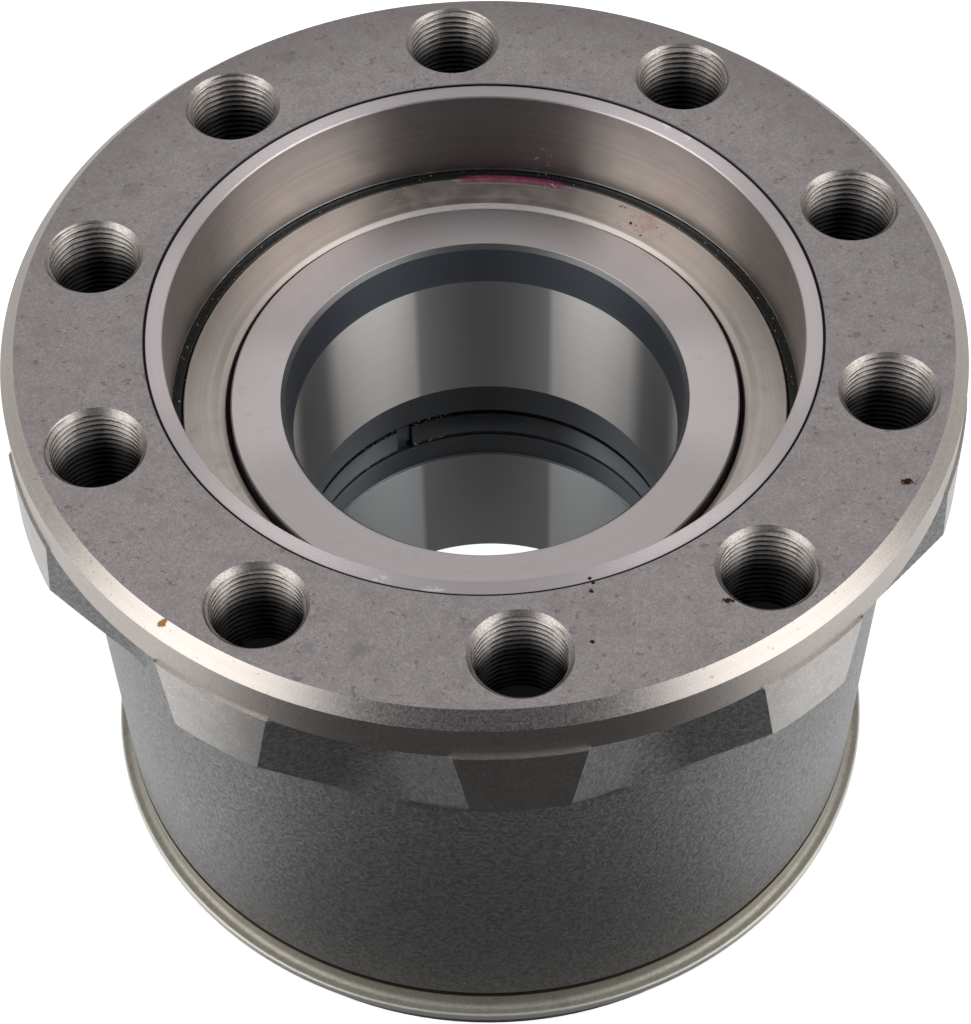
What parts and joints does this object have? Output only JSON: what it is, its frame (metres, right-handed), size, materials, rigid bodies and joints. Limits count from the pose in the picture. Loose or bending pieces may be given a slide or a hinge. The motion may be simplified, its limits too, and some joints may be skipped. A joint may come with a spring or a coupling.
{
  "type": "truck wheel hub with bearing unit",
  "caption": "Cast wheel hub with threaded flange bosses around a recessed double-row tapered roller bearing, with a deflector and a tone ring at its inboard end.",
  "frame": {"origin": "on the hub axis, at the bottom face of the tone ring that the hub stands on", "axes": "+Z along the hub axis, outboard, towards the wheel flange; +Y through one bolt hole, the far one in the picture"},
  "size_m": [0.199, 0.2002, 0.1445],
  "materials": {
    "cast_iron": "turned faces satin, cast faces rough",
    "bearing_steel": "ground",
    "pressed_steel": "satin",
    "spring_steel": "blackened",
    "cage_polymer": "moulded",
    "seal_rubber": "moulded",
    "plated_steel": "dull plated",
    "tone_steel": "dark phosphated"
  },
  "bodies": {
    "hub": {"hub_casting": "cast_iron", "retaining_ring": "spring_steel", "bearing_outer_ring": "bearing_steel", "outboard_seal_case": "pressed_steel", "outboard_seal_lip": "seal_rubber", "inboard_seal_case": "pressed_steel", "inboard_seal_lip": "seal_rubber", "deflector_ring": "plated_steel", "tone_ring": "tone_steel"},
    "inner_rings": {"outboard_inner_ring": "bearing_steel", "inboard_inner_ring": "bearing_steel", "clip_ring": "spring_steel"},
    "outboard_cage_body": {"outboard_cage": "cage_polymer"},
    "outboard_roller_01_body": {"outboard_roller_01": "bearing_steel"},
    "outboard_roller_02_body": {"outboard_roller_02": "bearing_steel"},
    "outboard_roller_03_body": {"outboard_roller_03": "bearing_steel"},
    "outboard_roller_04_body": {"outboard_roller_04": "bearing_steel"},
    "outboard_roller_05_body": {"outboard_roller_05": "bearing_steel"},
    "outboard_roller_06_body": {"outboard_roller_06": "bearing_steel"},
    "outboard_roller_07_body": {"outboard_roller_07": "bearing_steel"},
    "outboard_roller_08_body": {"outboard_roller_08": "bearing_steel"},
    "outboard_roller_09_body": {"outboard_roller_09": "bearing_steel"},
    "outboard_roller_10_body": {"outboard_roller_10": "bearing_steel"},
    "outboard_roller_11_body": {"outboard_roller_11": "bearing_steel"},
    "outboard_roller_12_body": {"outboard_roller_12": "bearing_steel"},
    "outboard_roller_13_body": {"outboard_roller_13": "bearing_steel"},
    "outboard_roller_14_body": {"outboard_roller_14": "bearing_steel"},
    "outboard_roller_15_body": {"outboard_roller_15": "bearing_steel"},
    "outboard_roller_16_body": {"outboard_roller_16": "bearing_steel"},
    "outboard_roller_17_body": {"outboard_roller_17": "bearing_steel"},
    "outboard_roller_18_body": {"outboard_roller_18": "bearing_steel"},
    "outboard_roller_19_body": {"outboard_roller_19": "bearing_steel"},
    "outboard_roller_20_body": {"outboard_roller_20": "bearing_steel"},
    "outboard_roller_21_body": {"outboard_roller_21": "bearing_steel"},
    "outboard_roller_22_body": {"outboard_roller_22": "bearing_steel"},
    "inboard_cage_body": {"inboard_cage": "cage_polymer"},
    "inboard_roller_01_body": {"inboard_roller_01": "bearing_steel"},
    "inboard_roller_02_body": {"inboard_roller_02": "bearing_steel"},
    "inboard_roller_03_body": {"inboard_roller_03": "bearing_steel"},
    "inboard_roller_04_body": {"inboard_roller_04": "bearing_steel"},
    "inboard_roller_05_body": {"inboard_roller_05": "bearing_steel"},
    "inboard_roller_06_body": {"inboard_roller_06": "bearing_steel"},
    "inboard_roller_07_body": {"inboard_roller_07": "bearing_steel"},
    "inboard_roller_08_body": {"inboard_roller_08": "bearing_steel"},
    "inboard_roller_09_body": {"inboard_roller_09": "bearing_steel"},
    "inboard_roller_10_body": {"inboard_roller_10": "bearing_steel"},
    "inboard_roller_11_body": {"inboard_roller_11": "bearing_steel"},
    "inboard_roller_12_body": {"inboard_roller_12": "bearing_steel"},
    "inboard_roller_13_body": {"inboard_roller_13": "bearing_steel"},
    "inboard_roller_14_body": {"inboard_roller_14": "bearing_steel"},
    "inboard_roller_15_body": {"inboard_roller_15": "bearing_steel"},
    "inboard_roller_16_body": {"inboard_roller_16": "bearing_steel"},
    "inboard_roller_17_body": {"inboard_roller_17": "bearing_steel"},
    "inboard_roller_18_body": {"inboard_roller_18": "bearing_steel"},
    "inboard_roller_19_body": {"inboard_roller_19": "bearing_steel"},
    "inboard_roller_20_body": {"inboard_roller_20": "bearing_steel"},
    "inboard_roller_21_body": {"inboard_roller_21": "bearing_steel"},
    "inboard_roller_22_body": {"inboard_roller_22": "bearing_steel"}
  },
  "joints": [
    {"name": "inner_ring_spin", "type": "hinge", "parent": "hub", "child": "inner_rings", "pos_m": [0, 0, 0.0671], "axis": [0, 0, 1], "continuous": true},
    {"name": "outboard_cage_spin", "type": "hinge", "parent": "hub", "child": "outboard_cage_body", "pos_m": [0, 0, 0.0671], "axis": [0, 0, 1], "continuous": true},
    {"name": "outboard_roller_01_spin", "type": "hinge", "parent": "outboard_cage_body", "child": "outboard_roller_01_body", "pos_m": [0.0532, 0, 0.101], "axis": [0.2334, 0, 0.9724], "continuous": true},
    {"name": "outboard_roller_02_spin", "type": "hinge", "parent": "outboard_cage_body", "child": "outboard_roller_02_body", "pos_m": [0.05105, 0.01499, 0.101], "axis": [0.224, 0.0658, 0.9724], "continuous": true},
    {"name": "outboard_roller_03_spin", "type": "hinge", "parent": "outboard_cage_body", "child": "outboard_roller_03_body", "pos_m": [0.04475, 0.02876, 0.101], "axis": [0.1964, 0.1262, 0.9724], "continuous": true},
    {"name": "outboard_roller_04_spin", "type": "hinge", "parent": "outboard_cage_body", "child": "outboard_roller_04_body", "pos_m": [0.03484, 0.04021, 0.101], "axis": [0.1529, 0.1764, 0.9724], "continuous": true},
    {"name": "outboard_roller_05_spin", "type": "hinge", "parent": "outboard_cage_body", "child": "outboard_roller_05_body", "pos_m": [0.0221, 0.04839, 0.101], "axis": [0.097, 0.2123, 0.9724], "continuous": true},
    {"name": "outboard_roller_06_spin", "type": "hinge", "parent": "outboard_cage_body", "child": "outboard_roller_06_body", "pos_m": [0.00757, 0.05266, 0.101], "axis": [0.0332, 0.2311, 0.9724], "continuous": true},
    {"name": "outboard_roller_07_spin", "type": "hinge", "parent": "outboard_cage_body", "child": "outboard_roller_07_body", "pos_m": [-0.00757, 0.05266, 0.101], "axis": [-0.0332, 0.2311, 0.9724], "continuous": true},
    {"name": "outboard_roller_08_spin", "type": "hinge", "parent": "outboard_cage_body", "child": "outboard_roller_08_body", "pos_m": [-0.0221, 0.04839, 0.101], "axis": [-0.097, 0.2123, 0.9724], "continuous": true},
    {"name": "outboard_roller_09_spin", "type": "hinge", "parent": "outboard_cage_body", "child": "outboard_roller_09_body", "pos_m": [-0.03484, 0.04021, 0.101], "axis": [-0.1529, 0.1764, 0.9724], "continuous": true},
    {"name": "outboard_roller_10_spin", "type": "hinge", "parent": "outboard_cage_body", "child": "outboard_roller_10_body", "pos_m": [-0.04475, 0.02876, 0.101], "axis": [-0.1964, 0.1262, 0.9724], "continuous": true},
    {"name": "outboard_roller_11_spin", "type": "hinge", "parent": "outboard_cage_body", "child": "outboard_roller_11_body", "pos_m": [-0.05105, 0.01499, 0.101], "axis": [-0.224, 0.0658, 0.9724], "continuous": true},
    {"name": "outboard_roller_12_spin", "type": "hinge", "parent": "outboard_cage_body", "child": "outboard_roller_12_body", "pos_m": [-0.0532, 0, 0.101], "axis": [-0.2334, 0, 0.9724], "continuous": true},
    {"name": "outboard_roller_13_spin", "type": "hinge", "parent": "outboard_cage_body", "child": "outboard_roller_13_body", "pos_m": [-0.05105, -0.01499, 0.101], "axis": [-0.224, -0.0658, 0.9724], "continuous": true},
    {"name": "outboard_roller_14_spin", "type": "hinge", "parent": "outboard_cage_body", "child": "outboard_roller_14_body", "pos_m": [-0.04475, -0.02876, 0.101], "axis": [-0.1964, -0.1262, 0.9724], "continuous": true},
    {"name": "outboard_roller_15_spin", "type": "hinge", "parent": "outboard_cage_body", "child": "outboard_roller_15_body", "pos_m": [-0.03484, -0.04021, 0.101], "axis": [-0.1529, -0.1764, 0.9724], "continuous": true},
    {"name": "outboard_roller_16_spin", "type": "hinge", "parent": "outboard_cage_body", "child": "outboard_roller_16_body", "pos_m": [-0.0221, -0.04839, 0.101], "axis": [-0.097, -0.2123, 0.9724], "continuous": true},
    {"name": "outboard_roller_17_spin", "type": "hinge", "parent": "outboard_cage_body", "child": "outboard_roller_17_body", "pos_m": [-0.00757, -0.05266, 0.101], "axis": [-0.0332, -0.2311, 0.9724], "continuous": true},
    {"name": "outboard_roller_18_spin", "type": "hinge", "parent": "outboard_cage_body", "child": "outboard_roller_18_body", "pos_m": [0.00757, -0.05266, 0.101], "axis": [0.0332, -0.2311, 0.9724], "continuous": true},
    {"name": "outboard_roller_19_spin", "type": "hinge", "parent": "outboard_cage_body", "child": "outboard_roller_19_body", "pos_m": [0.0221, -0.04839, 0.101], "axis": [0.097, -0.2123, 0.9724], "continuous": true},
    {"name": "outboard_roller_20_spin", "type": "hinge", "parent": "outboard_cage_body", "child": "outboard_roller_20_body", "pos_m": [0.03484, -0.04021, 0.101], "axis": [0.1529, -0.1764, 0.9724], "continuous": true},
    {"name": "outboard_roller_21_spin", "type": "hinge", "parent": "outboard_cage_body", "child": "outboard_roller_21_body", "pos_m": [0.04475, -0.02876, 0.101], "axis": [0.1964, -0.1262, 0.9724], "continuous": true},
    {"name": "outboard_roller_22_spin", "type": "hinge", "parent": "outboard_cage_body", "child": "outboard_roller_22_body", "pos_m": [0.05105, -0.01499, 0.101], "axis": [0.224, -0.0658, 0.9724], "continuous": true},
    {"name": "inboard_cage_spin", "type": "hinge", "parent": "hub", "child": "inboard_cage_body", "pos_m": [0, 0, 0.0671], "axis": [0, 0, 1], "continuous": true},
    {"name": "inboard_roller_01_spin", "type": "hinge", "parent": "inboard_cage_body", "child": "inboard_roller_01_body", "pos_m": [0.0532, 0, 0.0332], "axis": [-0.2334, 0, 0.9724], "continuous": true},
    {"name": "inboard_roller_02_spin", "type": "hinge", "parent": "inboard_cage_body", "child": "inboard_roller_02_body", "pos_m": [0.05105, 0.01499, 0.0332], "axis": [-0.224, -0.0658, 0.9724], "continuous": true},
    {"name": "inboard_roller_03_spin", "type": "hinge", "parent": "inboard_cage_body", "child": "inboard_roller_03_body", "pos_m": [0.04475, 0.02876, 0.0332], "axis": [-0.1964, -0.1262, 0.9724], "continuous": true},
    {"name": "inboard_roller_04_spin", "type": "hinge", "parent": "inboard_cage_body", "child": "inboard_roller_04_body", "pos_m": [0.03484, 0.04021, 0.0332], "axis": [-0.1529, -0.1764, 0.9724], "continuous": true},
    {"name": "inboard_roller_05_spin", "type": "hinge", "parent": "inboard_cage_body", "child": "inboard_roller_05_body", "pos_m": [0.0221, 0.04839, 0.0332], "axis": [-0.097, -0.2123, 0.9724], "continuous": true},
    {"name": "inboard_roller_06_spin", "type": "hinge", "parent": "inboard_cage_body", "child": "inboard_roller_06_body", "pos_m": [0.00757, 0.05266, 0.0332], "axis": [-0.0332, -0.2311, 0.9724], "continuous": true},
    {"name": "inboard_roller_07_spin", "type": "hinge", "parent": "inboard_cage_body", "child": "inboard_roller_07_body", "pos_m": [-0.00757, 0.05266, 0.0332], "axis": [0.0332, -0.2311, 0.9724], "continuous": true},
    {"name": "inboard_roller_08_spin", "type": "hinge", "parent": "inboard_cage_body", "child": "inboard_roller_08_body", "pos_m": [-0.0221, 0.04839, 0.0332], "axis": [0.097, -0.2123, 0.9724], "continuous": true},
    {"name": "inboard_roller_09_spin", "type": "hinge", "parent": "inboard_cage_body", "child": "inboard_roller_09_body", "pos_m": [-0.03484, 0.04021, 0.0332], "axis": [0.1529, -0.1764, 0.9724], "continuous": true},
    {"name": "inboard_roller_10_spin", "type": "hinge", "parent": "inboard_cage_body", "child": "inboard_roller_10_body", "pos_m": [-0.04475, 0.02876, 0.0332], "axis": [0.1964, -0.1262, 0.9724], "continuous": true},
    {"name": "inboard_roller_11_spin", "type": "hinge", "parent": "inboard_cage_body", "child": "inboard_roller_11_body", "pos_m": [-0.05105, 0.01499, 0.0332], "axis": [0.224, -0.0658, 0.9724], "continuous": true},
    {"name": "inboard_roller_12_spin", "type": "hinge", "parent": "inboard_cage_body", "child": "inboard_roller_12_body", "pos_m": [-0.0532, 0, 0.0332], "axis": [0.2334, 0, 0.9724], "continuous": true},
    {"name": "inboard_roller_13_spin", "type": "hinge", "parent": "inboard_cage_body", "child": "inboard_roller_13_body", "pos_m": [-0.05105, -0.01499, 0.0332], "axis": [0.224, 0.0658, 0.9724], "continuous": true},
    {"name": "inboard_roller_14_spin", "type": "hinge", "parent": "inboard_cage_body", "child": "inboard_roller_14_body", "pos_m": [-0.04475, -0.02876, 0.0332], "axis": [0.1964, 0.1262, 0.9724], "continuous": true},
    {"name": "inboard_roller_15_spin", "type": "hinge", "parent": "inboard_cage_body", "child": "inboard_roller_15_body", "pos_m": [-0.03484, -0.04021, 0.0332], "axis": [0.1529, 0.1764, 0.9724], "continuous": true},
    {"name": "inboard_roller_16_spin", "type": "hinge", "parent": "inboard_cage_body", "child": "inboard_roller_16_body", "pos_m": [-0.0221, -0.04839, 0.0332], "axis": [0.097, 0.2123, 0.9724], "continuous": true},
    {"name": "inboard_roller_17_spin", "type": "hinge", "parent": "inboard_cage_body", "child": "inboard_roller_17_body", "pos_m": [-0.00757, -0.05266, 0.0332], "axis": [0.0332, 0.2311, 0.9724], "continuous": true},
    {"name": "inboard_roller_18_spin", "type": "hinge", "parent": "inboard_cage_body", "child": "inboard_roller_18_body", "pos_m": [0.00757, -0.05266, 0.0332], "axis": [-0.0332, 0.2311, 0.9724], "continuous": true},
    {"name": "inboard_roller_19_spin", "type": "hinge", "parent": "inboard_cage_body", "child": "inboard_roller_19_body", "pos_m": [0.0221, -0.04839, 0.0332], "axis": [-0.097, 0.2123, 0.9724], "continuous": true},
    {"name": "inboard_roller_20_spin", "type": "hinge", "parent": "inboard_cage_body", "child": "inboard_roller_20_body", "pos_m": [0.03484, -0.04021, 0.0332], "axis": [-0.1529, 0.1764, 0.9724], "continuous": true},
    {"name": "inboard_roller_21_spin", "type": "hinge", "parent": "inboard_cage_body", "child": "inboard_roller_21_body", "pos_m": [0.04475, -0.02876, 0.0332], "axis": [-0.1964, 0.1262, 0.9724], "continuous": true},
    {"name": "inboard_roller_22_spin", "type": "hinge", "parent": "inboard_cage_body", "child": "inboard_roller_22_body", "pos_m": [0.05105, -0.01499, 0.0332], "axis": [-0.224, 0.0658, 0.9724], "continuous": true}
  ],
  "couplings": [
    {"joint": "outboard_cage_spin", "follows": "inner_ring_spin", "ratio": 0.44974},
    {"joint": "outboard_roller_01_spin", "follows": "inner_ring_spin", "ratio": -4.7875},
    {"joint": "outboard_roller_02_spin", "follows": "inner_ring_spin", "ratio": -4.7875},
    {"joint": "outboard_roller_03_spin", "follows": "inner_ring_spin", "ratio": -4.7875},
    {"joint": "outboard_roller_04_spin", "follows": "inner_ring_spin", "ratio": -4.7875},
    {"joint": "outboard_roller_05_spin", "follows": "inner_ring_spin", "ratio": -4.7875},
    {"joint": "outboard_roller_06_spin", "follows": "inner_ring_spin", "ratio": -4.7875},
    {"joint": "outboard_roller_07_spin", "follows": "inner_ring_spin", "ratio": -4.7875},
    {"joint": "outboard_roller_08_spin", "follows": "inner_ring_spin", "ratio": -4.7875},
    {"joint": "outboard_roller_09_spin", "follows": "inner_ring_spin", "ratio": -4.7875},
    {"joint": "outboard_roller_10_spin", "follows": "inner_ring_spin", "ratio": -4.7875},
    {"joint": "outboard_roller_11_spin", "follows": "inner_ring_spin", "ratio": -4.7875},
    {"joint": "outboard_roller_12_spin", "follows": "inner_ring_spin", "ratio": -4.7875},
    {"joint": "outboard_roller_13_spin", "follows": "inner_ring_spin", "ratio": -4.7875},
    {"joint": "outboard_roller_14_spin", "follows": "inner_ring_spin", "ratio": -4.7875},
    {"joint": "outboard_roller_15_spin", "follows": "inner_ring_spin", "ratio": -4.7875},
    {"joint": "outboard_roller_16_spin", "follows": "inner_ring_spin", "ratio": -4.7875},
    {"joint": "outboard_roller_17_spin", "follows": "inner_ring_spin", "ratio": -4.7875},
    {"joint": "outboard_roller_18_spin", "follows": "inner_ring_spin", "ratio": -4.7875},
    {"joint": "outboard_roller_19_spin", "follows": "inner_ring_spin", "ratio": -4.7875},
    {"joint": "outboard_roller_20_spin", "follows": "inner_ring_spin", "ratio": -4.7875},
    {"joint": "outboard_roller_21_spin", "follows": "inner_ring_spin", "ratio": -4.7875},
    {"joint": "outboard_roller_22_spin", "follows": "inner_ring_spin", "ratio": -4.7875},
    {"joint": "inboard_cage_spin", "follows": "inner_ring_spin", "ratio": 0.44974},
    {"joint": "inboard_roller_01_spin", "follows": "inner_ring_spin", "ratio": -4.7875},
    {"joint": "inboard_roller_02_spin", "follows": "inner_ring_spin", "ratio": -4.7875},
    {"joint": "inboard_roller_03_spin", "follows": "inner_ring_spin", "ratio": -4.7875},
    {"joint": "inboard_roller_04_spin", "follows": "inner_ring_spin", "ratio": -4.7875},
    {"joint": "inboard_roller_05_spin", "follows": "inner_ring_spin", "ratio": -4.7875},
    {"joint": "inboard_roller_06_spin", "follows": "inner_ring_spin", "ratio": -4.7875},
    {"joint": "inboard_roller_07_spin", "follows": "inner_ring_spin", "ratio": -4.7875},
    {"joint": "inboard_roller_08_spin", "follows": "inner_ring_spin", "ratio": -4.7875},
    {"joint": "inboard_roller_09_spin", "follows": "inner_ring_spin", "ratio": -4.7875},
    {"joint": "inboard_roller_10_spin", "follows": "inner_ring_spin", "ratio": -4.7875},
    {"joint": "inboard_roller_11_spin", "follows": "inner_ring_spin", "ratio": -4.7875},
    {"joint": "inboard_roller_12_spin", "follows": "inner_ring_spin", "ratio": -4.7875},
    {"joint": "inboard_roller_13_spin", "follows": "inner_ring_spin", "ratio": -4.7875},
    {"joint": "inboard_roller_14_spin", "follows": "inner_ring_spin", "ratio": -4.7875},
    {"joint": "inboard_roller_15_spin", "follows": "inner_ring_spin", "ratio": -4.7875},
    {"joint": "inboard_roller_16_spin", "follows": "inner_ring_spin", "ratio": -4.7875},
    {"joint": "inboard_roller_17_spin", "follows": "inner_ring_spin", "ratio": -4.7875},
    {"joint": "inboard_roller_18_spin", "follows": "inner_ring_spin", "ratio": -4.7875},
    {"joint": "inboard_roller_19_spin", "follows": "inner_ring_spin", "ratio": -4.7875},
    {"joint": "inboard_roller_20_spin", "follows": "inner_ring_spin", "ratio": -4.7875},
    {"joint": "inboard_roller_21_spin", "follows": "inner_ring_spin", "ratio": -4.7875},
    {"joint": "inboard_roller_22_spin", "follows": "inner_ring_spin", "ratio": -4.7875}
  ]
}
